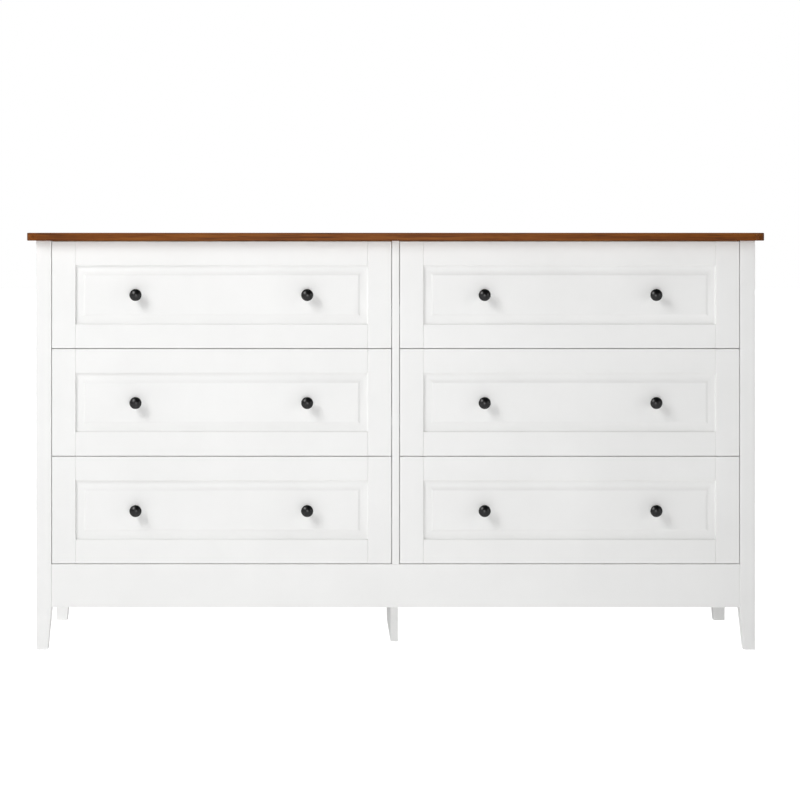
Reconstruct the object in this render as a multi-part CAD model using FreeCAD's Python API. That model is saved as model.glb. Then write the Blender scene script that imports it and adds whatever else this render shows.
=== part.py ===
import FreeCAD, Part
import os
from math import floor

from FreeCAD import Vector

# Six-drawer dresser on legs, in millimetres. +X is to the right of someone who faces it, +Y is to
# the back and +Z is up. The origin is on the floor, in the middle of the whole box, knobs included.

# The whole dresser
width = 1406.0              # across the top
height = 795.0              # from the floor to the upper face of the top
top_depth = 403.0           # front to back, over the top
top_thickness = 15.0
top_corner_radius = 25.0    # front corners, seen from above
top_rear_radius = 3.0       # rear corners, which stand over the square rear legs
top_edge_radius = 1.5
top_overhang = 18.0         # past the legs at the sides and in front; the back is flush

# Legs, square above and tapered on their two inner faces below
leg_width = 29.0
leg_depth = 30.0
foot_width = 22.0
foot_depth = 23.0
taper_height = 78.0

# Boards of the case
side_thickness = 18.0
partition_thickness = 14.0
bottom_thickness = 15.0
apron_thickness = 15.0
apron_height = 82.5
apron_floor_gap = 81.0
apron_setback = 1.0         # behind the faces of the legs
rear_apron_height = 48.5
top_rail_thickness = 15.0
top_rail_depth = 60.0
top_rail_gap = 2.0          # behind the closed drawer fronts
back_thickness = 3.0
back_inset = 6.5            # from the rear faces of the legs
back_lap = 8.0              # of a back panel onto a rear leg
back_joint_gap = 1.0        # between the two back panels
centre_foot_thickness = 15.0
centre_foot_setback = 96.0
centre_foot_rear_gap = 5.0
tongue_length = 8.0         # of the side panels and aprons, in the legs
tongue_share = 0.45         # of the board's thickness

# Drawer fronts: two stiles and two rails around a raised panel
rows = ("bottom", "middle", "top")
columns = {"left": -1, "right": 1}
front_thickness = 18.0
stile_width = 45.0
rail_width = 46.0
front_side_gap = 1.0
front_row_gap = 1.2
edge_chamfer = 0.5
panel_thickness = 12.0
panel_setback = 1.5         # of the raised field, behind the face of the frame
cove_width = 19.5
cove_depth = 4.0
panel_tongue = 8.0          # of the panel in the frame
panel_tongue_thickness = 5.5
groove_clearance = 0.2

# Knobs and their screws
knob_projection = 24.0      # past the face of the frame
knob_radius = 11.5
knob_neck_radius = 4.8
knob_base_radius = 7.5
knob_base_height = 1.6
knob_rim_height = 7.0       # from the widest circle to the tip
knob_dome_height = 3.8      # of the round cap, above the rolled rim
knob_dome_radius = 9.9      # of the same cap where it meets the rim
knob_under_height = 1.5     # from where the rim starts to the widest circle
knob_spacing = 326.0
knob_screw_radius = 2.0
knob_screw_grip = 12.0
knob_screw_head_radius = 4.2
knob_screw_head_height = 2.4
knob_waist_share = 0.4      # height of the waist, of the length from the base to the rim
knob_collar_share = 0.6     # height of the hollow's middle below the waist, of the waist's
knob_flare_share = 1.75     # height of the hollow's middle above the waist, of the waist's
knob_hollow = 0.7           # radius that the neck gains at the collar; twice that at the flare

# Drawer boxes
box_board = 12.0
box_lift = 12.0             # lower edge of the box above the lower edge of the front
box_top_gap = 40.8          # upper edge of the box below the upper edge of the front
box_past_slide = 20.0
box_floor_thickness = 3.0
box_floor_height = 8.0      # above the lower edge of the box
box_groove_depth = 6.0

# Telescopic slides: a cabinet member, a middle member and a drawer member, nested
slide_thickness = 12.7
slide_steel = 1.2
slide_length_step = 50.0    # slides are sold in steps of this length
slide_rear_room = 25.0
slide_front_gap = 2.0
slide_lift = 45.0           # middle of the slide above the lower edge of the box
cabinet_member_half = 22.8
cabinet_member_reach = 9.5
middle_member_half = 18.6
middle_member_start = 3.4
middle_member_reach = 11.2
drawer_member_half = 14.4
drawer_member_reach = 6.8

# Fasteners
screw_radius = 1.75
screw_head_radius = 3.5
screw_head_height = 2.0
flat_head_height = 1.6
screw_clearance = 0.15
screw_tip_room = 1.0
back_screw_length = 14.0
top_screw_length = 25.0
slide_screw_length = 12.0
box_screw_length = 10.0
slide_screw_ends = (45.0, 40.0)     # from the front and rear ends of a slide
slide_screw_stagger = 12.0          # so that two screws in the partition don't meet
upright_shares = (0.2, 0.5, 0.8)    # places of three fasteners along an upright or a board
rail_shares = (0.5, 1.5)            # of the middle of a bay, for two screws in a rail
cam_radius = 7.5
cam_height = 12.5
cam_skin = 1.0                      # of its board that stays above a cam, at least
cam_distance = 24.0                 # middle of the cam from the end of its board
cam_bolt_radius = 3.0
cam_bolt_grip = 11.0
dowel_radius = 4.0
dowel_grip = 25.0
tip_bracket_hole_radius = 1.5
tip_bracket_hole_depth = 20.0
tip_bracket_spacing = 64.0

# Places that follow from the sizes above
case_half = width / 2 - top_overhang            # outer faces of the legs
leg_inner = case_half - leg_width               # inner faces of the legs and side panels
case_depth = top_depth - top_overhang
total_depth = case_depth + knob_projection
back = total_depth / 2                          # rear faces of the legs and the top
front = back - case_depth                       # front faces of the legs and drawer fronts
case_top = height - top_thickness
apron_top = apron_floor_gap + apron_height
bottom_low = apron_top - bottom_thickness
apron_front = front + apron_setback
apron_back = apron_front + apron_thickness
back_plane = back - back_inset - back_thickness  # inner face of the back panels
partition_half = partition_thickness / 2
bay_width = leg_inner - partition_half
bay_middle = (leg_inner + partition_half) / 2
front_back = front + front_thickness
front_width = bay_width - 2 * front_side_gap
front_height = (case_top - apron_top - (len(rows) + 1) * front_row_gap) / len(rows)
row_pitch = front_height + front_row_gap
rail_front = front_back + top_rail_gap
field_front = front + panel_setback
panel_back = field_front + panel_thickness
slide_room = back_plane - front_back - slide_rear_room
slide_length = slide_length_step * floor(slide_room / slide_length_step)
box_depth = slide_length + box_past_slide
box_half = bay_width / 2 - slide_thickness
box_back = front_back + box_depth
box_height = front_height - box_lift - box_top_gap
box_inner = box_half - box_board
floor_low = box_lift + box_floor_height
floor_high = floor_low + box_floor_thickness
slide_height = box_lift + slide_lift
slide_front = front_back + slide_front_gap

X = Vector(1, 0, 0)
Y = Vector(0, 1, 0)
Z = Vector(0, 0, 1)
ORIGIN = Vector(0, 0, 0)

os.makedirs("parts", exist_ok=True)


def block(x0, x1, y0, y1, z0, z1):
    """A rectangular solid between two opposite corners."""
    return Part.makeBox(x1 - x0, y1 - y0, z1 - z0, Vector(x0, y0, z0))


def prism(points, direction):
    """A closed flat outline of straight edges, pushed along a direction."""
    outline = Part.makePolygon(points + [points[0]])
    return Part.Face(outline).extrude(direction)


def other_side(shape):
    """The same piece on the other side of the dresser's middle plane."""
    return shape.mirror(ORIGIN, X)


def edges_at_front(shape, y):
    """The edges that lie wholly in the plane at y."""
    flat = 1e-6
    return [e for e in shape.Edges if abs(e.BoundBox.YMin - y) + abs(e.BoundBox.YMax - y) < flat]


def save(node, *solids):
    """Write one node, a single solid or a group of them."""
    shape = solids[0] if len(solids) == 1 else Part.makeCompound(list(solids))
    shape.exportStep(f"parts/{node}.step")


def screw(seat, direction, length, head_height=screw_head_height):
    """A screw whose head sits on the seat and whose shank runs along the direction."""
    head = Part.makeCylinder(screw_head_radius, head_height, seat, direction * -1)
    shank = Part.makeCylinder(screw_radius, length, seat, direction)
    return head.fuse(shank).removeSplitter()


def screw_hole(seat, direction, length):
    """The hole that a screw's shank goes in."""
    length += screw_tip_room
    return Part.makeCylinder(screw_radius + screw_clearance, length, seat, direction)


def bays():
    """The place of each bay: the middle of its width and the lower edge of its drawer front."""
    for side in columns.values():
        for row in range(len(rows)):
            yield Vector(side * bay_middle, 0, apron_top + front_row_gap + row * row_pitch)


# ---- top and legs ------------------------------------------------------------------------------

def top_panel():
    board = block(-width / 2, width / 2, front - top_overhang, back, case_top, height)
    upright = [e for e in board.Edges if e.BoundBox.ZLength > top_thickness / 2]
    front_corners = [e for e in upright if e.CenterOfMass.y < 0]
    board = board.makeFillet(top_corner_radius, front_corners)
    upright = [e for e in board.Edges if e.BoundBox.ZLength > top_thickness / 2]
    rear_corners = [e for e in upright if e.CenterOfMass.y > back - top_edge_radius]
    board = board.makeFillet(top_rear_radius, rear_corners)
    rims = [e for e in board.Edges if e.BoundBox.ZLength < top_edge_radius]
    board = board.makeFillet(top_edge_radius, rims)
    return board.cut([screw_hole(*place) for place in top_screws()])


def leg_section(z, leg_w, leg_d, rear):
    """The outline of the right-hand leg at one height, square to its outer corner."""
    outer = back if rear else front
    inner = back - leg_d if rear else front + leg_d
    corners = [Vector(case_half, outer, z), Vector(case_half - leg_w, outer, z),
               Vector(case_half - leg_w, inner, z), Vector(case_half, inner, z)]
    return Part.makePolygon(corners + [corners[0]])


def leg(rear):
    """The right-hand leg, with mortises for the side panel and the apron."""
    sections = [leg_section(0, foot_width, foot_depth, rear),
                leg_section(taper_height, leg_width, leg_depth, rear),
                leg_section(case_top, leg_width, leg_depth, rear)]
    post = Part.makeLoft(sections, True, True)
    mortises = [side_panel_blank(), rear_apron_blank() if rear else front_apron_blank()]
    if rear:
        mortises.append(back_rebate())
        mortises += [screw_hole(*place) for place in back_screws()]
    return post.cut(mortises)


def back_rebate():
    """The step in the right-hand rear leg that a back panel lies in."""
    return block(leg_inner, leg_inner + back_lap, back_plane, back, bottom_low, case_top)


# ---- boards of the case ------------------------------------------------------------------------

def side_panel_blank():
    """The right-hand side panel with a tongue at its front and rear edges, before drilling."""
    front_edge = front + leg_depth
    rear_edge = back - leg_depth
    outer = leg_inner + side_thickness
    margin = side_thickness * (1 - tongue_share) / 2
    board = block(leg_inner, outer, front_edge, rear_edge, apron_floor_gap, case_top)
    tongue = block(leg_inner + margin, outer - margin, front_edge - tongue_length,
                   rear_edge + tongue_length, apron_floor_gap, case_top)
    return board.fuse(tongue).removeSplitter()


def side_panel(side):
    """A drilled side panel. The slide screws on the two sides of the dresser don't mirror."""
    board = side_panel_blank().cut([cam_bore(*place) for place in cams()])
    board = board if side > 0 else other_side(board)
    return board.cut([screw_hole(*place) for place in cabinet_slide_screws()])


def apron_blank(y0, y1, z0, z1):
    """A board between two legs, with a tongue at each end."""
    margin = (y1 - y0) * (1 - tongue_share) / 2
    reach = leg_inner + tongue_length
    board = block(-leg_inner, leg_inner, y0, y1, z0, z1)
    tongues = block(-reach, reach, y0 + margin, y1 - margin, z0, z1)
    return board.fuse(tongues).removeSplitter()


def front_apron_blank():
    return apron_blank(apron_front, apron_back, apron_floor_gap, apron_top)


def rear_apron_blank():
    return apron_blank(back_plane - apron_thickness, back_plane,
                       bottom_low - rear_apron_height, bottom_low)


def bottom_panel():
    board = block(-leg_inner, leg_inner, apron_back, back_plane, bottom_low, apron_top)
    holes = [screw_hole(*place) for place in back_screws()]
    holes += [piece for place in cams() for piece in (cam(*place), cam_bore(*place))]
    holes += [other_side(hole) for hole in holes]
    return board.cut(holes + foot_dowels())


def centre_partition():
    board = block(-partition_half, partition_half, front, back_plane, apron_top, case_top)
    holes = [screw_hole(*place) for place in cabinet_slide_screws()]
    holes += [screw_hole(*place) for place in back_screws()]
    return board.cut(holes + foot_dowels())


def centre_foot():
    """The upright board under the middle of the case, notched around the rear apron."""
    half = centre_foot_thickness / 2
    board = block(-half, half, front + centre_foot_setback, back - centre_foot_rear_gap, 0,
                  bottom_low)
    return board.cut([rear_apron_blank()] + foot_dowels())


def top_rail(y0):
    """One of the flat rails under the top, in the right-hand bay."""
    rail = block(partition_half, leg_inner, y0, y0 + top_rail_depth,
                 case_top - top_rail_thickness, case_top)
    holes = [screw_hole(*place) for place in top_screws() + back_screws()]
    holes += [piece for place in cams() for piece in (cam(*place), cam_bore(*place))]
    return rail.cut(holes + tip_bracket_holes())


def back_panel():
    """The right-hand back panel, which laps onto the rear leg."""
    panel = block(back_joint_gap / 2, leg_inner + back_lap, back_plane, back_plane + back_thickness,
                  bottom_low, case_top)
    holes = [screw_hole(*place) for place in back_screws()]
    return panel.cut(holes + tip_bracket_holes())


def tip_bracket_holes():
    """Two holes for an anti-tip bracket, through the back and into the rear top rails."""
    depth = back_thickness + tip_bracket_hole_depth
    z = case_top - top_rail_thickness / 2
    return [Part.makeCylinder(tip_bracket_hole_radius, depth,
                              Vector(side * tip_bracket_spacing / 2, back_plane + back_thickness, z),
                              Y * -1) for side in (-1, 1)]


# ---- fasteners of the case ---------------------------------------------------------------------

def back_screws():
    """Screws of the right-hand back panel: in the leg, the partition, the rail and the bottom."""
    y = back_plane + back_thickness
    low = bottom_low + bottom_thickness / 2
    high = case_top - top_rail_thickness / 2
    leg_x = leg_inner + back_lap / 2
    places = [(bay_middle * share, z) for share in rail_shares for z in (low, high)]
    uprights = [low + (high - low) * share for share in upright_shares]
    places += [(x, z) for x in (0, leg_x) for z in uprights]
    return [(Vector(x, y, z), Y * -1, back_screw_length) for x, z in places]


def top_screws():
    """Screws up through the four top rails into the top."""
    z = case_top - top_rail_thickness
    rows_y = (rail_front + top_rail_depth / 2, back_plane - top_rail_depth / 2)
    columns_x = [side * bay_middle * share for side in (-1, 1) for share in rail_shares]
    return [(Vector(x, y, z), Z, top_screw_length) for x in columns_x for y in rows_y]


def cams():
    """Cams of the right-hand side panel: two in the bottom panel and one in each top rail.

    Each is a place on the underside of its board, and the board's thickness.
    """
    x = leg_inner - cam_distance
    rear_y = back_plane - top_rail_depth / 2
    front_y = rail_front + top_rail_depth / 2
    boards = ((bottom_low, bottom_thickness), (case_top - top_rail_thickness, top_rail_thickness))
    return [(Vector(x, y, z), thickness) for y in (front_y, rear_y) for z, thickness in boards]


def cam(place, board):
    """A round cam let into the underside of a board."""
    return Part.makeCylinder(cam_radius, min(cam_height, board - cam_skin), place, Z)


def cam_bore(place, board):
    """The bore from the middle of a cam into the side panel."""
    start = place + Z * (board / 2)
    return Part.makeCylinder(cam_bolt_radius, cam_distance + cam_bolt_grip, start, X)


def cam_bolt(place, board):
    """The steel bolt in that bore, which ends at the cam."""
    return cam_bore(place, board).cut(cam(place, board))


def foot_dowels():
    """Dowels that run from the centre foot through the bottom panel into the partition."""
    length = bottom_thickness + 2 * dowel_grip
    start = front + centre_foot_setback
    span = back_plane - apron_thickness - start
    return [Part.makeCylinder(dowel_radius, length,
                              Vector(0, start + span * share, bottom_low - dowel_grip), Z)
            for share in upright_shares]


# ---- slides ------------------------------------------------------------------------------------

def channel(side, web, lip, half, y0, length):
    """A pressed steel channel. The web and lips are counted inwards from the wall of the bay."""
    step = slide_steel if lip > web else -slide_steel
    inside = half - slide_steel
    section = [(web, -half), (lip, -half), (lip, -inside), (web + step, -inside),
               (web + step, inside), (lip, inside), (lip, half), (web, half)]
    wall = side * bay_width / 2
    points = [Vector(wall - side * u, y0, slide_height + w) for u, w in section]
    return prism(points, Y * length)


def slide_screw_rows(y0, side):
    """Where a slide's screws are along it; those on one side are staggered."""
    stagger = slide_screw_stagger if side < 0 else 0
    near, far = slide_screw_ends
    return (y0 + near + stagger, y0 + slide_length - far + stagger)


def cabinet_screws_of(side):
    """Screws of one cabinet member, in the frame of its bay."""
    x = side * (bay_width / 2 - slide_steel)
    return [(Vector(x, y, slide_height), X * side, slide_screw_length)
            for y in slide_screw_rows(slide_front, side)]


def drawer_screws_of(side):
    """Screws of one drawer member, in the frame of its bay."""
    x = side * (box_half + slide_steel)
    return [(Vector(x, y, slide_height), X * -side, box_screw_length)
            for y in slide_screw_rows(front_back, side)]


def cabinet_slide_screws():
    """Every screw that holds a slide to the case."""
    return [(place + bay, direction, length) for bay in bays() for side in (-1, 1)
            for place, direction, length in cabinet_screws_of(side)]


def cabinet_member(side):
    member = channel(side, 0, cabinet_member_reach, cabinet_member_half, slide_front, slide_length)
    return member.cut([screw_hole(*place) for place in cabinet_screws_of(side)])


def middle_member(side):
    return channel(side, middle_member_start, middle_member_reach, middle_member_half, slide_front,
                   slide_length)


def drawer_member(side):
    member = channel(side, slide_thickness, drawer_member_reach, drawer_member_half, front_back,
                     slide_length)
    return member.cut([screw_hole(*place) for place in drawer_screws_of(side)])


# ---- drawer fronts, in the frame of a bay ------------------------------------------------------

def frame_groove(x0, x1, z0, z1):
    """The groove of the frame that the panel and the rails' tenons go in."""
    y0 = field_front + cove_depth - groove_clearance
    y1 = field_front + cove_depth + panel_tongue_thickness + groove_clearance
    return block(x0, x1, y0, y1, z0, z1)


def floor_groove():
    """The groove in the back of a drawer front that the drawer's floor goes in."""
    reach = box_inner + box_groove_depth
    return block(-reach, reach, front_back - box_groove_depth, front_back,
                 floor_low, floor_high)


def stile(side):
    outer = front_width / 2
    inner = outer - stile_width
    depth = panel_tongue + groove_clearance
    board = block(inner, outer, front, front_back, 0, front_height)
    board = board.makeChamfer(edge_chamfer, edges_at_front(board, front))
    board = board.cut(frame_groove(inner, inner + depth, 0, front_height))
    board = board if side > 0 else other_side(board)
    return board.cut(floor_groove())


def rail(z0, groove_z):
    half = front_width / 2 - stile_width
    board = block(-half, half, front, front_back, z0, z0 + rail_width)
    board = board.makeChamfer(edge_chamfer, edges_at_front(board, front))
    tenons = frame_groove(-half - panel_tongue, half + panel_tongue, z0, z0 + rail_width)
    depth = panel_tongue + groove_clearance
    groove = frame_groove(-front_width, front_width, groove_z, groove_z + depth)
    return board.fuse(tenons).cut(groove).cut(floor_groove())


def panel_outline(half, across, middle):
    """The raised panel's section: flat field, a hollow cove at each side, and thin tongues."""
    reach = half + panel_tongue
    field = half - cove_width
    tongue_front = field_front + cove_depth
    tongue_back = tongue_front + panel_tongue_thickness
    step = half - groove_clearance
    cove_radius = (cove_width ** 2 + cove_depth ** 2) / (2 * cove_depth)
    mid_run = cove_width / 2
    mid_rise = cove_radius - (cove_radius ** 2 - mid_run ** 2) ** 0.5

    def point(a, y):
        return middle + across * a + Y * y

    edges = []
    for sign in (1, -1):
        path = [point(sign * field, field_front),
                point(sign * (half - mid_run), tongue_front - mid_rise),
                point(sign * half, tongue_front)]
        edges.append(Part.Arc(*path).toShape())
        corners = [path[2], point(sign * reach, tongue_front), point(sign * reach, tongue_back),
                   point(sign * step, tongue_back), point(sign * step, panel_back)]
        edges += [Part.makeLine(a, b) for a, b in zip(corners, corners[1:])]
    edges.append(Part.makeLine(point(-field, field_front), point(field, field_front)))
    edges.append(Part.makeLine(point(-step, panel_back), point(step, panel_back)))
    return Part.Face(Part.Wire(Part.__sortEdges__(edges)))


def raised_panel():
    """The panel, whose coves meet in mitres because two long sections cross."""
    half_x = front_width / 2 - stile_width
    half_z = front_height / 2 - rail_width
    reach_x = half_x + panel_tongue
    reach_z = half_z + panel_tongue
    left_end = Vector(-reach_x, 0, front_height / 2)
    lower_end = Vector(0, 0, front_height / 2 - reach_z)
    along_x = panel_outline(half_z, Z, left_end).extrude(X * 2 * reach_x)
    along_z = panel_outline(half_x, X, lower_end).extrude(Z * 2 * reach_z)
    holes = [Part.makeCylinder(knob_screw_radius + screw_clearance, front_thickness,
                               Vector(x, front, front_height / 2), Y) for x in knob_places()]
    return along_x.common(along_z).cut(holes)


def drawer_front():
    low = rail(0, rail_width - panel_tongue - groove_clearance)
    high = rail(front_height - rail_width, front_height - rail_width)
    return [stile(-1), stile(1), low, high, raised_panel()]


def knob_places():
    return (-knob_spacing / 2, knob_spacing / 2)


def knob(x):
    """A turned mushroom knob on its axis, with a blind hole for its screw."""
    length = knob_projection + panel_setback
    widest = length - knob_rim_height
    under_height = widest - knob_under_height
    sphere = (knob_dome_radius ** 2 + knob_dome_height ** 2) / (2 * knob_dome_height)
    dome_middle = knob_dome_radius / 2
    dome_drop = sphere - (sphere ** 2 - dome_middle ** 2) ** 0.5
    waist_height = (knob_base_height + under_height) * knob_waist_share
    collar_height = waist_height * knob_collar_share
    flare_height = waist_height * knob_flare_share

    def point(radius, out):
        return Vector(x + radius, field_front - out, front_height / 2)

    start = point(0, 0)
    base = point(knob_base_radius, 0)
    lip = point(knob_base_radius, knob_base_height)
    collar = point(knob_neck_radius + knob_hollow, collar_height)
    waist = point(knob_neck_radius, waist_height)
    flare = point(knob_neck_radius + 2 * knob_hollow, flare_height)
    under = point(knob_dome_radius, under_height)
    rim = point(knob_radius, widest)
    shoulder = point(knob_dome_radius, length - knob_dome_height)
    dome = point(dome_middle, length - dome_drop)
    tip = point(0, length)
    edges = [Part.makeLine(start, base), Part.makeLine(base, lip),
             Part.Arc(lip, collar, waist).toShape(), Part.Arc(waist, flare, under).toShape(),
             Part.Arc(under, rim, shoulder).toShape(), Part.Arc(shoulder, dome, tip).toShape(),
             Part.makeLine(tip, start)]
    body = Part.Face(Part.Wire(edges)).revolve(start, Y, 360)
    bore_depth = knob_screw_grip + screw_tip_room
    bore = Part.makeCylinder(knob_screw_radius + screw_clearance, bore_depth, start, Y * -1)
    return body.cut(bore)


def knob_screw(x):
    seat = Vector(x, panel_back, front_height / 2)
    head = Part.makeCylinder(knob_screw_head_radius, knob_screw_head_height, seat, Y)
    shank = Part.makeCylinder(knob_screw_radius, panel_thickness + knob_screw_grip, seat, Y * -1)
    return head.fuse(shank).removeSplitter()


# ---- drawer boxes, in the frame of a bay -------------------------------------------------------

def box_side(side):
    board = block(box_inner, box_half, front_back, box_back, box_lift, box_lift + box_height)
    groove = block(box_inner, box_inner + box_groove_depth, front_back, box_back,
                   floor_low, floor_high)
    board = board.cut(groove)
    board = board if side > 0 else other_side(board)
    return board.cut([screw_hole(*place) for place in drawer_screws_of(side)])


def box_rear():
    """The rear board, which stands on the drawer's floor."""
    return block(-box_inner, box_inner, box_back - box_board, box_back, floor_high,
                 box_lift + box_height)


def box_floor():
    reach = box_inner + box_groove_depth
    return block(-reach, reach, front_back - box_groove_depth, box_back, floor_low, floor_high)


# ---- write every node --------------------------------------------------------------------------

def save_case():
    save("top_panel", top_panel())
    for place, rear in (("front", False), ("rear", True)):
        right_leg = leg(rear)
        save(f"{place}_right_leg", right_leg)
        save(f"{place}_left_leg", other_side(right_leg))
    save("right_side_panel", side_panel(1))
    save("left_side_panel", side_panel(-1))
    save("front_apron", front_apron_blank())
    save("rear_apron", rear_apron_blank())
    save("bottom_panel", bottom_panel())
    save("centre_partition", centre_partition())
    save("centre_foot", centre_foot())
    for place, y0 in (("front", rail_front), ("rear", back_plane - top_rail_depth)):
        right_rail = top_rail(y0)
        save(f"{place}_top_rails", other_side(right_rail), right_rail)
    right_back = back_panel()
    save("back_panels", other_side(right_back), right_back)


def save_fasteners():
    right = [screw(*place) for place in back_screws() if place[0].x > 0]
    middle = [screw(*place) for place in back_screws() if place[0].x == 0]
    middle += [screw(*place) for place in top_screws()]
    middle += [screw(*place, flat_head_height) for place in cabinet_slide_screws()]
    save("case_screws", *right, *[other_side(piece) for piece in right], *middle)
    fittings = [piece for place in cams() for piece in (cam(*place), cam_bolt(*place))]
    fittings += [other_side(piece) for piece in fittings]
    save("case_connectors", *fittings, *foot_dowels())


def save_slides():
    pair = [cabinet_member(-1), cabinet_member(1)]
    save("slide_cabinet_members", *[piece.translated(bay) for bay in bays() for piece in pair])


def save_drawers():
    drawer_slides = [piece for side in (-1, 1) for piece in
                     [drawer_member(side)] + [screw(*place, flat_head_height)
                                              for place in drawer_screws_of(side)]]
    pieces = {
        "front": drawer_front(),
        "knobs": [piece for x in knob_places() for piece in (knob(x), knob_screw(x))],
        "box_sides": [box_side(-1), box_side(1)],
        "box_rear": [box_rear()],
        "box_floor": [box_floor()],
        "slide_drawer_members": drawer_slides,
        "slide_middle_members": [middle_member(-1), middle_member(1)],
    }
    names = [f"{column}_{row}" for column in columns for row in rows]
    for name, bay in zip(names, bays()):
        for part, solids in pieces.items():
            save(f"{name}_{part}", *[solid.translated(bay) for solid in solids])


save_case()
save_fasteners()
save_slides()
save_drawers()
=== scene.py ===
"""A low six-drawer dresser: white painted case on tapered legs, brown stained top, black knobs.

Every length is in metres, in the frame of the CAD model: +X right, +Y back, +Z up.
"""

import math

import bpy
from mathutils import Matrix, Vector


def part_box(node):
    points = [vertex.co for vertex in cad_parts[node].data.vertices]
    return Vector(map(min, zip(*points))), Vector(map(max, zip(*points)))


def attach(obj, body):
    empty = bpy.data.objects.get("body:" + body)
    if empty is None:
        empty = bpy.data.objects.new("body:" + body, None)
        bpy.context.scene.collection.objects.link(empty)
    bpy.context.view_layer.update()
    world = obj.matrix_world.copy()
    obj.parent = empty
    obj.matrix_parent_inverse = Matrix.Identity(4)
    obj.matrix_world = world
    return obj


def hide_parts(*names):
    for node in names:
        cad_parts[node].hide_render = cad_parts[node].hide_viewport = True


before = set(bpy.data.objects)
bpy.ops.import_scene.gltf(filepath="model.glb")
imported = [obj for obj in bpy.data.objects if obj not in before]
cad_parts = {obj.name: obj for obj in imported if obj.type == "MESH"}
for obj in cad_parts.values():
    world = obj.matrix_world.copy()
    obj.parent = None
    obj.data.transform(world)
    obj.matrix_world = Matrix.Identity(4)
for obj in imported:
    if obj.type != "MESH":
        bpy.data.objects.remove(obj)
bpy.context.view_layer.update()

MM = 0.001
COLUMNS = ("left", "right")
ROWS = ("bottom", "middle", "top")

# Sizes that the boxes of the CAD nodes don't give
TOP_CORNER = 25 * MM            # radius of the front corners, seen from above
TOP_REAR_CORNER = 3 * MM
TOP_EDGE = 1.6 * MM             # radius along its upper and lower rims
LEG_TAPER = 78 * MM             # height of the tapered part
FOOT_WIDTH = 22 * MM
FOOT_DEPTH = 23 * MM
LEG_WIDTH = 29 * MM
LEG_DEPTH = 30 * MM
LEG_EDGE = 1.3 * MM
TONGUE = 8 * MM                 # of side panels and aprons, in the legs
BOX_BOARD = 12 * MM
STILE = 45 * MM
RAIL = 46 * MM
FRAME_EDGE = 1.0 * MM           # leaves the fine line between a stile and a rail
PANEL_SETBACK = 1.5 * MM        # of the raised field, behind the face of the frame
COVE_WIDTH = 19.5 * MM
COVE_DEPTH = 4 * MM
COVE_STEPS = 10
PANEL_TONGUE = 8 * MM
PANEL_TONGUE_THICKNESS = 5.5 * MM
PANEL_THICKNESS = 12 * MM
GROOVE_CLEARANCE = 0.2 * MM
EASED = 0.9 * MM                # rounding that paint leaves on a sanded edge

# The knob: its radii, and heights above its foot or below its tip
KNOB_SPACING = 326 * MM
KNOB_PROJECTION = 24 * MM
KNOB_FOOT = 7.5 * MM
KNOB_FOOT_HEIGHT = 1.6 * MM
KNOB_FOOT_EDGE = 0.4 * MM
KNOB_WAIST = 4.8 * MM
KNOB_WAIST_HEIGHT = 7.4 * MM
KNOB_RIM = 11.5 * MM
KNOB_RIM_BELOW_TIP = 8.5 * MM   # where the flare ends and the rim begins
KNOB_CAP = 9.9 * MM             # where the rim ends and the domed cap begins
KNOB_CAP_BELOW_TIP = 3.8 * MM
KNOB_FLARE = 1.3                # above 1, the flare widens late
KNOB_SIDES = 48                 # corners of each ring

# Pan-head screws; the head's sizes are radii
SCREW_HEAD = 3.5 * MM
SCREW_SHANK = 1.75 * MM
SCREW_SIDES = 24
SCREW_POINT = 3 * MM
SCREW_TIP = 0.12                # shares of the shank's radius, and of the head's radius or height
RECESS_REACH = 0.55
RECESS_WIDTH = 0.14
RECESS_DEPTH = 0.55
HEAD_ROUNDING = 0.45
HEAD_RIM = 0.9                  # a corner this far out is on the head's rim
KNOB_SCREW_HEAD = 4.2 * MM
KNOB_SCREW_HEAD_HEIGHT = 2.4 * MM
KNOB_SCREW_SHANK = 2 * MM
KNOB_SCREW_GRIP = 12 * MM       # length inside the knob

# A normal or an edge counts as lying along an axis from this share of its length
ALONG = 0.9
WELD = 0.01 * MM                # corners closer than this are one

# The studio: floor size, and the light of the floor and of the surround before and behind the dresser
FLOOR_SIZE = 60
FLOOR_GLOW = 0.35
SURROUND_FRONT = 0.0
SURROUND_BACK = 0.36
# Soft square lamps: place, what it points at, width and power in watts
LAMPS = {
    "key_softbox": ((-2.06, -2.42, 1.80), (-0.2, -0.2, 0.45), 1.2, 19.5),
    "high_key_softbox": ((-1.93, -1.93, 2.51), (-0.2, -0.2, 0.45), 1.2, 35),
    "low_front_softbox": ((0, -3.2, 0.33), (0, -0.2, 0.2), 1.0, 23),
    "right_softbox": ((2.78, -2.0, 1.0), (0.2, -0.2, 0.45), 1.2, 10.7),
    "left_side_softbox": ((-3.2, -0.5, 1.3), (-0.7, 0, 0.6), 1.2, 6),
}

# The camera: place across, distance in front of the legs, height, lens in millimetres, and shift
CAMERA_X = -0.139
CAMERA_DISTANCE = 4.761
CAMERA_HEIGHT = 0.795
SENSOR = 36                     # width in millimetres
LENS = 112.43
SHIFT_X = 0.0966
SHIFT_Y = -0.2090


# ---- making and shaping meshes -----------------------------------------------------------------

def deselect():
    """Go to object mode with nothing selected."""
    if bpy.context.mode != "OBJECT":
        bpy.ops.object.mode_set(mode="OBJECT")
    bpy.ops.object.select_all(action="DESELECT")


def take(piece):
    """Make one piece active, and the only one selected."""
    deselect()
    piece.select_set(True)
    bpy.context.view_layer.objects.active = piece


def block(name, low, high):
    """A new box between two corners."""
    deselect()
    low, high = Vector(low), Vector(high)
    bpy.ops.mesh.primitive_cube_add(size=1, location=(low + high) / 2, scale=high - low)
    piece = bpy.context.object
    piece.name = name
    bpy.ops.object.transform_apply(location=True, rotation=True, scale=True)
    return piece


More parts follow.
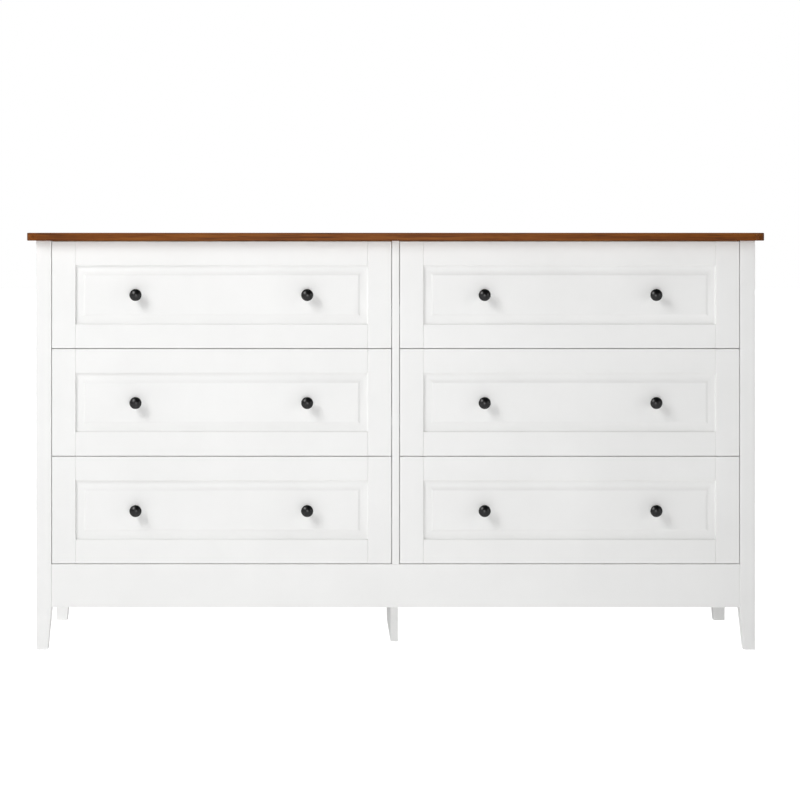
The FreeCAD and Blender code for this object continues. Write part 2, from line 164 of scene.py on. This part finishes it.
def pick(piece, kind, test):
    """Enter edit mode with only the faces or edges selected whose middle and direction pass."""
    take(piece)
    bpy.ops.object.mode_set(mode="EDIT")
    bpy.ops.mesh.select_mode(type=kind)
    bpy.ops.mesh.select_all(action="DESELECT")
    bpy.ops.object.mode_set(mode="OBJECT")
    mesh = piece.data
    if kind == "FACE":
        for face in mesh.polygons:
            face.select = test(face.center, face.normal)
    else:
        for edge in mesh.edges:
            start, end = (mesh.vertices[index].co for index in edge.vertices)
            edge.select = test((start + end) / 2, (end - start).normalized())
    bpy.ops.object.mode_set(mode="EDIT")


def slice_at(piece, point, normal):
    """Cut new edges around a piece where a plane crosses it."""
    pick(piece, "FACE", lambda middle, direction: True)
    bpy.ops.mesh.bisect(plane_co=point, plane_no=normal)
    deselect()


def apply_modifier(piece, kind, **settings):
    """Finish a piece with a modifier, and apply it."""
    take(piece)
    modifier = piece.modifiers.new(kind.lower(), kind)
    for name, value in settings.items():
        setattr(modifier, name, value)
    bpy.ops.object.modifier_apply(modifier=modifier.name)


def shade(piece, angle):
    """Smooth the shading over edges up to an angle, and keep the flat faces flat in the light."""
    take(piece)
    bpy.ops.object.shade_smooth_by_angle(angle=math.radians(angle))
    apply_modifier(piece, "WEIGHTED_NORMAL", mode="FACE_AREA", weight=80, keep_sharp=True)


def ease(piece, width=EASED, segments=3):
    """Round every sharp edge a little, and shade the piece."""
    apply_modifier(piece, "BEVEL", width=width, segments=segments, limit_method="ANGLE",
                   angle_limit=math.radians(25), use_clamp_overlap=True)
    shade(piece, 40)


def copy_to(piece, name, shift):
    """The same piece at another place, with its own mesh."""
    twin = piece.copy()
    twin.data = piece.data.copy()
    twin.name = name
    twin.data.name = name
    twin.data.transform(Matrix.Translation(shift))
    bpy.context.scene.collection.objects.link(twin)
    return twin


def settle(piece, body, node, material):
    """Give a finished piece its body, the CAD node that it stands for, and its finish."""
    deselect()
    piece.data.materials.clear()
    piece.data.materials.append(material)
    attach(piece, body)
    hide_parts(node)
    return piece


def near(a, b):
    """Whether two places are the same but for rounding."""
    return abs(a - b) < WELD


# ---- materials ---------------------------------------------------------------------------------

def linear(code):
    """An sRGB hex colour as linear red, green, blue and alpha."""
    parts = [int(code[i:i + 2], 16) / 255 for i in (1, 3, 5)]
    return [c / 12.92 if c <= 0.04045 else ((c + 0.055) / 1.055) ** 2.4 for c in parts] + [1]


def add(tree, kind, inputs, stops=None, **settings):
    """Add a node with its settings, its links or values, and a ramp's stops."""
    node = tree.nodes.new(kind)
    for name, value in settings.items():
        setattr(node, name, value)
    for socket, value in inputs.items():
        if isinstance(value, bpy.types.NodeSocket):
            tree.links.new(value, node.inputs[socket])
        else:
            node.inputs[socket].default_value = value
    for index, (place, code) in enumerate(stops or []):
        elements = node.color_ramp.elements
        stop = elements[index] if index < 2 else elements.new(place)
        stop.position = place
        stop.color = linear(code)
    return node


def new_material(name):
    """An empty material, and its tree, Principled shader and object coordinates."""
    material = bpy.data.materials.new(name)
    material.use_nodes = True
    tree = material.node_tree
    shader = tree.nodes["Principled BSDF"]
    place = add(tree, "ShaderNodeTexCoord", {}).outputs["Object"]
    return material, tree, shader, place


def satin_white_paint():
    """Sprayed satin lacquer on MDF: even and white, with a faint orange peel in its sheen."""
    material, tree, shader, place = new_material("satin_white_paint")
    patches = add(tree, "ShaderNodeTexNoise", {"Vector": place, "Scale": 1 / (180 * MM), "Detail": 3})
    tint = add(tree, "ShaderNodeValToRGB", {"Fac": patches.outputs["Fac"]},
               stops=[(0.3, "#F1F1F0"), (0.7, "#F6F6F5")])
    # Real orange peel is finer than half a millimetre; it is drawn coarser so that it shows.
    peel = add(tree, "ShaderNodeTexNoise", {"Vector": place, "Scale": 1 / (2.2 * MM), "Detail": 2})
    sheen = add(tree, "ShaderNodeMapRange", {"Value": patches.outputs["Fac"], "To Min": 0.36,
                                             "To Max": 0.46})
    bump = add(tree, "ShaderNodeBump", {"Height": peel.outputs["Fac"], "Strength": 0.12,
                                        "Distance": 0.05 * MM})
    tree.links.new(tint.outputs["Color"], shader.inputs["Base Color"])
    tree.links.new(sheen.outputs["Result"], shader.inputs["Roughness"])
    tree.links.new(bump.outputs["Normal"], shader.inputs["Normal"])
    shader.inputs["IOR"].default_value = 1.48
    return material


def wood(name, tones, along, grain, sheen, fibre=1.2 * MM):
    """Long-grained wood: bands of early and late wood, fine fibres, and short dark pores."""
    material, tree, shader, place = new_material(name)
    squeeze = [1.0, 1.0, 1.0]
    squeeze["XYZ".index(along)] = 1 / 28
    stretched = add(tree, "ShaderNodeMapping", {"Vector": place, "Scale": squeeze}).outputs["Vector"]
    bands = add(tree, "ShaderNodeTexNoise", {"Vector": stretched, "Scale": 1 / grain, "Detail": 5,
                                             "Roughness": 0.62, "Distortion": 0.4})
    fibres = add(tree, "ShaderNodeTexNoise", {"Vector": stretched, "Scale": 1 / fibre, "Detail": 4,
                                              "Roughness": 0.7})
    both = add(tree, "ShaderNodeMix", {"Factor": 0.42, "A": bands.outputs["Fac"],
                                       "B": fibres.outputs["Fac"]}, data_type="FLOAT")
    colour = add(tree, "ShaderNodeValToRGB", {"Fac": both.outputs["Result"]}, stops=tones)
    pores = add(tree, "ShaderNodeTexNoise", {"Vector": stretched, "Scale": 1 / (2.4 * MM),
                                             "Detail": 1})
    pore_mask = add(tree, "ShaderNodeMapRange", {"Value": pores.outputs["Fac"], "From Min": 0.60,
                                                 "From Max": 0.72})
    darker = add(tree, "ShaderNodeMix", {"Factor": pore_mask.outputs["Result"],
                                         "A": colour.outputs["Color"],
                                         "B": linear(tones[0][1])}, data_type="RGBA")
    gloss = add(tree, "ShaderNodeMapRange", {"Value": both.outputs["Result"], "From Min": 0.3,
                                             "From Max": 0.7, "To Min": sheen + 0.06,
                                             "To Max": sheen - 0.04})
    bump = add(tree, "ShaderNodeBump", {"Height": both.outputs["Result"], "Strength": 0.25,
                                        "Distance": 0.12 * MM})
    tree.links.new(darker.outputs["Result"], shader.inputs["Base Color"])
    tree.links.new(gloss.outputs["Result"], shader.inputs["Roughness"])
    tree.links.new(bump.outputs["Normal"], shader.inputs["Normal"])
    # A wiped stain leaves open wood at the surface, which reflects less than a coat of lacquer.
    shader.inputs["IOR"].default_value = 1.25
    return material


def satin_black_metal():
    """Zinc die casting with black powder coat: nearly black, with a soft broad highlight."""
    material, tree, shader, place = new_material("black_powder_coat")
    grit = add(tree, "ShaderNodeTexNoise", {"Vector": place, "Scale": 1 / (0.9 * MM), "Detail": 3})
    tint = add(tree, "ShaderNodeValToRGB", {"Fac": grit.outputs["Fac"]},
               stops=[(0.35, "#070708"), (0.7, "#0F0F10")])
    sheen = add(tree, "ShaderNodeMapRange", {"Value": grit.outputs["Fac"], "To Min": 0.26,
                                             "To Max": 0.36})
    bump = add(tree, "ShaderNodeBump", {"Height": grit.outputs["Fac"], "Strength": 0.25,
                                        "Distance": 0.04 * MM})
    tree.links.new(tint.outputs["Color"], shader.inputs["Base Color"])
    tree.links.new(sheen.outputs["Result"], shader.inputs["Roughness"])
    tree.links.new(bump.outputs["Normal"], shader.inputs["Normal"])
    shader.inputs["IOR"].default_value = 1.5
    return material


def zinc_plated_steel():
    """Rolled steel strip with bright zinc plate: grey, drawn along its length, faintly clouded."""
    material, tree, shader, place = new_material("zinc_plated_steel")
    drawn = add(tree, "ShaderNodeMapping", {"Vector": place, "Scale": (1, 1 / 40, 1)}).outputs["Vector"]
    lines = add(tree, "ShaderNodeTexNoise", {"Vector": drawn, "Scale": 1 / (0.6 * MM), "Detail": 3})
    cloud = add(tree, "ShaderNodeTexNoise", {"Vector": place, "Scale": 1 / (14 * MM), "Detail": 3})
    tint = add(tree, "ShaderNodeValToRGB", {"Fac": cloud.outputs["Fac"]},
               stops=[(0.3, "#B4B7BA"), (0.7, "#D0D2D3")])
    sheen = add(tree, "ShaderNodeMapRange", {"Value": lines.outputs["Fac"], "To Min": 0.24,
                                             "To Max": 0.46})
    bump = add(tree, "ShaderNodeBump", {"Height": lines.outputs["Fac"], "Strength": 0.2,
                                        "Distance": 0.03 * MM})
    tree.links.new(tint.outputs["Color"], shader.inputs["Base Color"])
    tree.links.new(sheen.outputs["Result"], shader.inputs["Roughness"])
    tree.links.new(bump.outputs["Normal"], shader.inputs["Normal"])
    shader.inputs["Metallic"].default_value = 1.0
    return material


def white_hardboard():
    """Thin pressed fibreboard with a white print: matt, with faint felted flecks."""
    material, tree, shader, place = new_material("white_faced_hardboard")
    flecks = add(tree, "ShaderNodeTexNoise", {"Vector": place, "Scale": 1 / (3.5 * MM), "Detail": 6,
                                              "Roughness": 0.75})
    tint = add(tree, "ShaderNodeValToRGB", {"Fac": flecks.outputs["Fac"]},
               stops=[(0.32, "#DDDBD6"), (0.6, "#EBEAE6")])
    bump = add(tree, "ShaderNodeBump", {"Height": flecks.outputs["Fac"], "Strength": 0.2,
                                        "Distance": 0.06 * MM})
    tree.links.new(tint.outputs["Color"], shader.inputs["Base Color"])
    tree.links.new(bump.outputs["Normal"], shader.inputs["Normal"])
    shader.inputs["Roughness"].default_value = 0.62
    return material


PINE_TONES = [(0.28, "#B98F5F"), (0.5, "#D3AE7E"), (0.72, "#E0C297")]
PAINT = satin_white_paint()
STAINED_TOP = wood("walnut_stained_ash", [(0.30, "#552B09"), (0.48, "#77400F"), (0.64, "#8D541B")],
                   "X", 7 * MM, 0.42)
DRAWER_SIDE_WOOD = wood("sealed_pine_side", PINE_TONES, "Y", 11 * MM, 0.5)
DRAWER_REAR_WOOD = wood("sealed_pine_rear", PINE_TONES, "X", 11 * MM, 0.5)
BLACK = satin_black_metal()
ZINC = zinc_plated_steel()
HARDBOARD = white_hardboard()


# ---- case --------------------------------------------------------------------------------------

def make_top():
    """The top board: front corners turned to a wide radius, and rims rounded over."""
    low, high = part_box("top_panel")
    top = block("top_board", low, high)
    pick(top, "EDGE", lambda middle, way: abs(way.z) > ALONG and near(middle.y, low.y))
    bpy.ops.mesh.bevel(offset=TOP_CORNER, segments=14, affect="EDGES")
    pick(top, "EDGE", lambda middle, way: abs(way.z) > ALONG and near(middle.y, high.y))
    bpy.ops.mesh.bevel(offset=TOP_REAR_CORNER, segments=4, affect="EDGES")
    ease(top, TOP_EDGE, 4)
    settle(top, "cabinet", "top_panel", STAINED_TOP)


def make_leg(node):
    """One leg: a square post, drawn out below and tapered towards its outer corner."""
    low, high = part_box(node)
    post = block(node + "_post", (low.x, low.y, low.z + LEG_TAPER), high)
    outer = Vector((low.x if low.x < 0 else high.x, low.y if "front" in node else high.y, low.z))
    pick(post, "FACE", lambda middle, way: way.z < -ALONG)
    bpy.ops.mesh.extrude_region_move(TRANSFORM_OT_translate={"value": (0, 0, -LEG_TAPER)})
    bpy.ops.transform.resize(value=(FOOT_WIDTH / LEG_WIDTH, FOOT_DEPTH / LEG_DEPTH, 1),
                             center_override=outer)
    ease(post, LEG_EDGE, 4)
    settle(post, "cabinet", node, PAINT)


def make_board(node, body, material, trim=(0, 0, 0), part=None):
    """A board with eased edges. Trim leaves out the tongues that lie hidden in its neighbours."""
    low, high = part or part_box(node)
    trim = Vector(trim)
    board = block(node + "_board", low + trim, high - trim)
    ease(board)
    return settle(board, body, node, material)


def make_case():
    """The top, legs, sides, aprons, partition and centre foot."""
    make_top()
    for leg in ("front_left_leg", "front_right_leg", "rear_left_leg", "rear_right_leg"):
        make_leg(leg)
    for panel in ("left_side_panel", "right_side_panel"):
        make_board(panel, "cabinet", PAINT, trim=(0, TONGUE, 0))
    for apron in ("front_apron", "rear_apron"):
        make_board(apron, "cabinet", PAINT, trim=(TONGUE, 0, 0))
    make_board("centre_partition", "cabinet", PAINT)
    make_centre_foot()


def make_centre_foot():
    """The upright board under the middle of the case, notched around the rear apron."""
    low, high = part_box("centre_foot")
    apron_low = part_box("rear_apron")[0]
    board = block("centre_foot_board", low, high)
    slice_at(board, (0, apron_low.y, 0), (0, 1, 0))
    slice_at(board, (0, 0, apron_low.z), (0, 0, 1))
    pick(board, "FACE", lambda middle, way: way.z > ALONG and middle.y > apron_low.y)
    bpy.ops.transform.translate(value=(0, 0, apron_low.z - high.z))
    bpy.ops.mesh.select_all(action="SELECT")
    bpy.ops.mesh.remove_doubles(threshold=WELD)
    bpy.ops.mesh.dissolve_degenerate(threshold=WELD)
    bpy.ops.mesh.normals_make_consistent(inside=False)
    ease(board)
    settle(board, "cabinet", "centre_foot", PAINT)


# ---- screws ------------------------------------------------------------------------------------

def make_screw(head_radius, head_height, shank_radius, length):
    """A pan-head wood screw along -Z: rounded head with a cross recess, shank and point."""
    deselect()
    bpy.ops.mesh.primitive_cylinder_add(vertices=SCREW_SIDES, radius=head_radius, depth=head_height,
                                        location=(0, 0, head_height / 2))
    screw = bpy.context.object
    screw.name = "screw"
    bpy.ops.object.transform_apply(location=True, rotation=True, scale=True)
    pick(screw, "EDGE", lambda middle, way: near(middle.z, head_height) and abs(way.z) < 1 - ALONG)
    bpy.ops.mesh.bevel(offset=head_height * HEAD_ROUNDING, segments=4, affect="EDGES")
    pick(screw, "FACE", lambda middle, way: way.z < -ALONG and near(middle.z, 0))
    bpy.ops.mesh.inset(thickness=head_radius - shank_radius, depth=0)
    shank = SCREW_POINT - length
    bpy.ops.mesh.extrude_region_move(TRANSFORM_OT_translate={"value": (0, 0, shank)})
    bpy.ops.mesh.extrude_region_move(TRANSFORM_OT_translate={"value": (0, 0, -SCREW_POINT)})
    bpy.ops.transform.resize(value=(SCREW_TIP, SCREW_TIP, 1), center_override=(0, 0, -length))
    reach = head_radius * RECESS_REACH
    half_width = head_radius * RECESS_WIDTH
    floor = head_height * (1 - RECESS_DEPTH)
    for reach_x, reach_y in ((reach, half_width), (half_width, reach)):
        cutter = block("cutter", (-reach_x, -reach_y, floor), (reach_x, reach_y, 2 * head_height))
        apply_modifier(screw, "BOOLEAN", operation="DIFFERENCE", object=cutter)
        bpy.data.objects.remove(cutter)
    take(screw)
    bpy.ops.object.shade_smooth_by_angle(angle=math.radians(35))
    return screw


def place_screw(screw, name, seat, outward):
    """A copy of a screw with its head's underside on the seat and its head outward."""
    twin = copy_to(screw, name, (0, 0, 0))
    turn = outward.to_track_quat("Z", "Y").to_matrix().to_4x4()
    twin.data.transform(Matrix.Translation(seat) @ turn)
    return twin


def loose_parts(node):
    """The corners of every separate solid of a CAD node, from a merged copy of its mesh."""
    clone = copy_to(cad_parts[node], "clone", (0, 0, 0))
    clone.hide_viewport = clone.hide_render = False
    take(clone)
    bpy.ops.object.mode_set(mode="EDIT")
    bpy.ops.mesh.select_all(action="SELECT")
    bpy.ops.mesh.remove_doubles(threshold=WELD / 10)
    bpy.ops.mesh.separate(type="LOOSE")
    bpy.ops.object.mode_set(mode="OBJECT")
    parts = list(bpy.context.selected_objects)
    corners = [[vertex.co.copy() for vertex in part.data.vertices] for part in parts]
    for part in parts:
        bpy.data.objects.remove(part)
    return corners


def measure_screw(corners):
    """The seat, outward direction, head height and length of one CAD screw, from its corners."""
    low = Vector([min(corner[axis] for corner in corners) for axis in range(3)])
    high = Vector([max(corner[axis] for corner in corners) for axis in range(3)])
    middle, size = (low + high) / 2, high - low
    axis = max(range(3), key=lambda index: size[index])
    side = (axis + 1) % 3
    rim = [corner[axis] for corner in corners
           if abs(corner[side] - middle[side]) > SCREW_HEAD * HEAD_RIM]
    head_low, head_high = min(rim), max(rim)
    outward = Vector((0, 0, 0))
    outward[axis] = 1 if (head_low + head_high) / 2 > middle[axis] else -1
    seat = middle.copy()
    seat[axis] = head_low if outward[axis] > 0 else head_high
    head_height = round((head_high - head_low) / MM, 2) * MM
    length = round(size[axis] / MM, 2) * MM - head_height
    return seat, outward, head_height, length


def make_case_screws():
    """Every screw of the case, at the place and the length of the CAD one."""
    patterns = {}
    screws = []
    for corners in loose_parts("case_screws"):
        seat, outward, head_height, length = measure_screw(corners)
        if (head_height, length) not in patterns:
            patterns[head_height, length] = make_screw(SCREW_HEAD, head_height, SCREW_SHANK, length)
        screws.append(place_screw(patterns[head_height, length], "case_screw", seat, outward))
    for pattern in patterns.values():
        bpy.data.objects.remove(pattern)
    take(screws[0])
    for screw in screws:
        screw.select_set(True)
    bpy.ops.object.join()
    screws[0].name = "case_screw_set"
    settle(screws[0], "cabinet", "case_screws", ZINC)


# ---- drawer boxes ------------------------------------------------------------------------------

def make_boxes():
    """The two sides and the rear board of every drawer box, with eased upper edges."""
    for column in COLUMNS:
        for row in ROWS:
            drawer = f"{column}_{row}"
            body = drawer + "_drawer"
            low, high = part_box(drawer + "_box_sides")
            sides = ((low, Vector((low.x + BOX_BOARD, high.y, high.z))),
                     (Vector((high.x - BOX_BOARD, low.y, low.z)), high))
            for part in sides:
                make_board(drawer + "_box_sides", body, DRAWER_SIDE_WOOD, part=part)
            make_board(drawer + "_box_rear", body, DRAWER_REAR_WOOD)


# ---- drawer fronts -----------------------------------------------------------------------------

def make_panel(low, high, back):
    """The raised panel: a thin board drawn forward through a hollow cove to its flat field."""
    tongue_front = low.y + PANEL_SETBACK + COVE_DEPTH
    tongue_back = tongue_front + PANEL_TONGUE_THICKNESS
    left = low.x + STILE - PANEL_TONGUE
    right = high.x - STILE + PANEL_TONGUE
    bottom = low.z + RAIL - PANEL_TONGUE
    top = high.z - RAIL + PANEL_TONGUE
    panel = block("raised_panel", (left, tongue_front, bottom), (right, tongue_back, top))
    pick(panel, "FACE", lambda middle, way: way.y < -ALONG)
    bpy.ops.mesh.inset(thickness=PANEL_TONGUE, depth=0)
    radius = (COVE_WIDTH ** 2 + COVE_DEPTH ** 2) / (2 * COVE_DEPTH)
    sweep = math.asin(COVE_WIDTH / radius)
    angles = [sweep * step / COVE_STEPS for step in range(COVE_STEPS + 1)]
    for angle, next_angle in zip(angles, angles[1:]):
        bpy.ops.mesh.inset(thickness=radius * (math.sin(next_angle) - math.sin(angle)),
                           depth=radius * (math.cos(angle) - math.cos(next_angle)))
    pick(panel, "FACE", lambda middle, way: way.y > ALONG)
    bpy.ops.mesh.inset(thickness=PANEL_TONGUE + GROOVE_CLEARANCE, depth=0)
    bpy.ops.mesh.extrude_region_move(TRANSFORM_OT_translate={"value": (0, back - tongue_back, 0)})
    shade(panel, 24)
    return panel


def quarter_turn(steps):
    """The angles that part a quarter turn into equal steps."""
    return [math.pi / 2 * step / steps for step in range(steps + 1)]


def knob_rings():
    """Radius and height of each ring of the turned knob, from its foot to near its tip."""
    tip = KNOB_PROJECTION + PANEL_SETBACK
    rim_start = tip - KNOB_RIM_BELOW_TIP
    cap_start = tip - KNOB_CAP_BELOW_TIP
    rings = [(KNOB_FOOT - KNOB_FOOT_EDGE, 0), (KNOB_FOOT, KNOB_FOOT_EDGE),
             (KNOB_FOOT, KNOB_FOOT_HEIGHT - KNOB_FOOT_EDGE)]
    for angle in quarter_turn(8):
        rings.append((KNOB_FOOT - (KNOB_FOOT - KNOB_WAIST) * math.sin(angle),
                      KNOB_WAIST_HEIGHT - (KNOB_WAIST_HEIGHT - KNOB_FOOT_HEIGHT) * math.cos(angle)))
    for angle in quarter_turn(9)[1:]:
        climb = math.sin(angle) ** KNOB_FLARE
        rings.append((KNOB_CAP - (KNOB_CAP - KNOB_WAIST) * math.cos(angle),
                      KNOB_WAIST_HEIGHT + (rim_start - KNOB_WAIST_HEIGHT) * climb))
    rim_steps = 8
    for step in range(1, rim_steps + 1):
        share = step / rim_steps
        bulge = math.sin(math.pi * share)
        rings.append((KNOB_CAP + (KNOB_RIM - KNOB_CAP) * bulge,
                      rim_start + (cap_start - rim_start) * share))
    dome = (KNOB_CAP ** 2 + KNOB_CAP_BELOW_TIP ** 2) / (2 * KNOB_CAP_BELOW_TIP)
    cap_steps = 8
    for step in range(1, cap_steps + 1):
        # The last ring stays a little open, so that the tip is one small flat face.
        radius = KNOB_CAP * (1 - step / (cap_steps + 0.4))
        rings.append((radius, tip - dome + math.sqrt(dome ** 2 - radius ** 2)))
    return rings


def make_knob(centre, field):
    """A turned knob, drawn ring by ring out of a disc on the drawer's field."""
    deselect()
    rings = knob_rings()
    bpy.ops.mesh.primitive_circle_add(vertices=KNOB_SIDES, radius=rings[0][0], fill_type="NGON",
                                      location=(centre.x, field, centre.z),
                                      rotation=(math.pi / 2, 0, 0))
    knob = bpy.context.object
    knob.name = "knob"
    bpy.ops.object.transform_apply(location=True, rotation=True, scale=True)
    pick(knob, "FACE", lambda middle, way: True)
    for (radius, height), (next_radius, next_height) in zip(rings, rings[1:]):
        step = (0, height - next_height, 0)
        bpy.ops.mesh.extrude_region_move(TRANSFORM_OT_translate={"value": step})
        bpy.ops.transform.resize(value=(next_radius / radius, 1, next_radius / radius),
                                 center_override=(centre.x, field - next_height, centre.z))
    bpy.ops.mesh.select_all(action="SELECT")
    bpy.ops.mesh.normals_make_consistent(inside=False)
    take(knob)
    bpy.ops.object.shade_smooth_by_angle(angle=math.radians(35))
    return knob


def make_front_pieces():
    """The pieces of the first drawer's front, to be copied to the others."""
    low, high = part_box("left_bottom_front")
    back = low.y + PANEL_SETBACK + PANEL_THICKNESS
    pieces = {
        "left_stile": block("stile", low, (low.x + STILE, high.y, high.z)),
        "right_stile": block("stile", (high.x - STILE, low.y, low.z), high),
        "lower_rail": block("rail", (low.x + STILE, low.y, low.z),
                            (high.x - STILE, high.y, low.z + RAIL)),
        "upper_rail": block("rail", (low.x + STILE, low.y, high.z - RAIL),
                            (high.x - STILE, high.y, high.z)),
    }
    for piece in pieces.values():
        ease(piece, FRAME_EDGE, 3)
    pieces["panel"] = make_panel(low, high, back)
    middle = (low + high) / 2
    screw = make_screw(KNOB_SCREW_HEAD, KNOB_SCREW_HEAD_HEIGHT, KNOB_SCREW_SHANK,
                       PANEL_THICKNESS + KNOB_SCREW_GRIP)
    knobs, screws = {}, {}
    for side, name in ((-1, "left"), (1, "right")):
        centre = middle + Vector((side * KNOB_SPACING / 2, 0, 0))
        knobs[name + "_knob"] = make_knob(centre, low.y + PANEL_SETBACK)
        seat = Vector((centre.x, back, centre.z))
        screws[name + "_knob_screw"] = place_screw(screw, "knob_screw", seat, Vector((0, 1, 0)))
    bpy.data.objects.remove(screw)
    return low, pieces, knobs, screws


def make_fronts():
    """All six fronts with their knobs and knob screws, from copies of the first one's pieces."""
    origin, pieces, knobs, screws = make_front_pieces()
    for column in COLUMNS:
        for row in ROWS:
            drawer = f"{column}_{row}"
            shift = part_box(drawer + "_front")[0] - origin
            for name, piece in pieces.items():
                twin = copy_to(piece, f"{drawer}_{name}", shift)
                settle(twin, drawer + "_drawer", drawer + "_front", PAINT)
            for name, piece in knobs.items():
                twin = copy_to(piece, f"{drawer}_{name}", shift)
                settle(twin, drawer + "_drawer", drawer + "_knobs", BLACK)
            for name, piece in screws.items():
                twin = copy_to(piece, f"{drawer}_{name}", shift)
                settle(twin, drawer + "_drawer", drawer + "_knobs", ZINC)
    for piece in [*pieces.values(), *knobs.values(), *screws.values()]:
        bpy.data.objects.remove(piece)


def finish_cad_nodes():
    """Give every CAD node that still shows its own finish."""
    for name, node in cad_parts.items():
        if node.hide_render:
            continue
        if "slide" in name or name.startswith("case_"):
            material = ZINC
        elif name.endswith("box_sides"):
            material = DRAWER_SIDE_WOOD
        elif name.endswith("box_rear") or name.endswith("top_rails"):
            material = DRAWER_REAR_WOOD
        elif name.endswith("box_floor") or name == "back_panels":
            material = HARDBOARD
        else:
            material = PAINT
        node.data.materials.clear()
        node.data.materials.append(material)


# ---- stage, light and camera -------------------------------------------------------------------

def white_for_camera(tree, cast):
    """A strength that is full white where the camera looks, and another for the light it casts."""
    path = add(tree, "ShaderNodeLightPath", {})
    level = add(tree, "ShaderNodeMix", {"Factor": path.outputs["Is Camera Ray"], "A": cast, "B": 1.0},
                data_type="FLOAT")
    return level.outputs["Result"]


def make_stage():
    """A white floor that glows, as on a light table, so that no shadow shows on it."""
    deselect()
    bpy.ops.mesh.primitive_plane_add(size=FLOOR_SIZE, location=(0, 0, 0))
    floor = bpy.context.object
    floor.name = "floor"
    material, tree, shader, _ = new_material("pale_floor")
    shader.inputs["Base Color"].default_value = linear("#E7E7E7")
    shader.inputs["Roughness"].default_value = 0.9
    shader.inputs["Specular IOR Level"].default_value = 0
    shader.inputs["Emission Color"].default_value = (1, 1, 1, 1)
    tree.links.new(white_for_camera(tree, FLOOR_GLOW), shader.inputs["Emission Strength"])
    floor.data.materials.append(material)


def make_area_light(name, place, target, size, power):
    """A soft square lamp that points at a place."""
    deselect()
    bpy.ops.object.light_add(type="AREA", location=place)
    light = bpy.context.object
    light.name = name
    light.data.shape = "SQUARE"
    light.data.size = size
    light.data.energy = power
    light.rotation_euler = (Vector(target) - Vector(place)).to_track_quat("-Z", "Y").to_euler()


def make_world():
    """A white surround that lights the dresser from behind, and is dark on the side of the lamps."""
    world = bpy.data.worlds.new("studio")
    bpy.context.scene.world = world
    world.use_nodes = True
    tree = world.node_tree
    way = add(tree, "ShaderNodeTexCoord", {}).outputs["Generated"]
    across = add(tree, "ShaderNodeSeparateXYZ", {"Vector": way}).outputs["Y"]
    behind = add(tree, "ShaderNodeMapRange", {"Value": across, "From Min": 0.0, "From Max": 0.5,
                                              "To Min": SURROUND_FRONT, "To Max": SURROUND_BACK})
    background = tree.nodes["Background"]
    background.inputs["Color"].default_value = (1, 1, 1, 1)
    strength = white_for_camera(tree, behind.outputs["Result"])
    tree.links.new(strength, background.inputs["Strength"])


def make_camera():
    """A long lens, level, a little left of the middle and at the height of the top."""
    deselect()
    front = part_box("front_left_leg")[0].y
    bpy.ops.object.camera_add(location=(CAMERA_X, front - CAMERA_DISTANCE, CAMERA_HEIGHT),
                              rotation=(math.pi / 2, 0, 0))
    camera = bpy.context.object
    camera.data.sensor_width = SENSOR
    camera.data.lens = LENS
    camera.data.shift_x = SHIFT_X
    camera.data.shift_y = SHIFT_Y
    camera.data.clip_end = 100
    bpy.context.scene.camera = camera


make_case()
make_case_screws()
make_boxes()
make_fronts()
finish_cad_nodes()
make_stage()
make_world()
for name, (place, target, size, power) in LAMPS.items():
    make_area_light(name, place, target, size, power)
make_camera()
bpy.context.scene.view_settings.view_transform = "Standard"
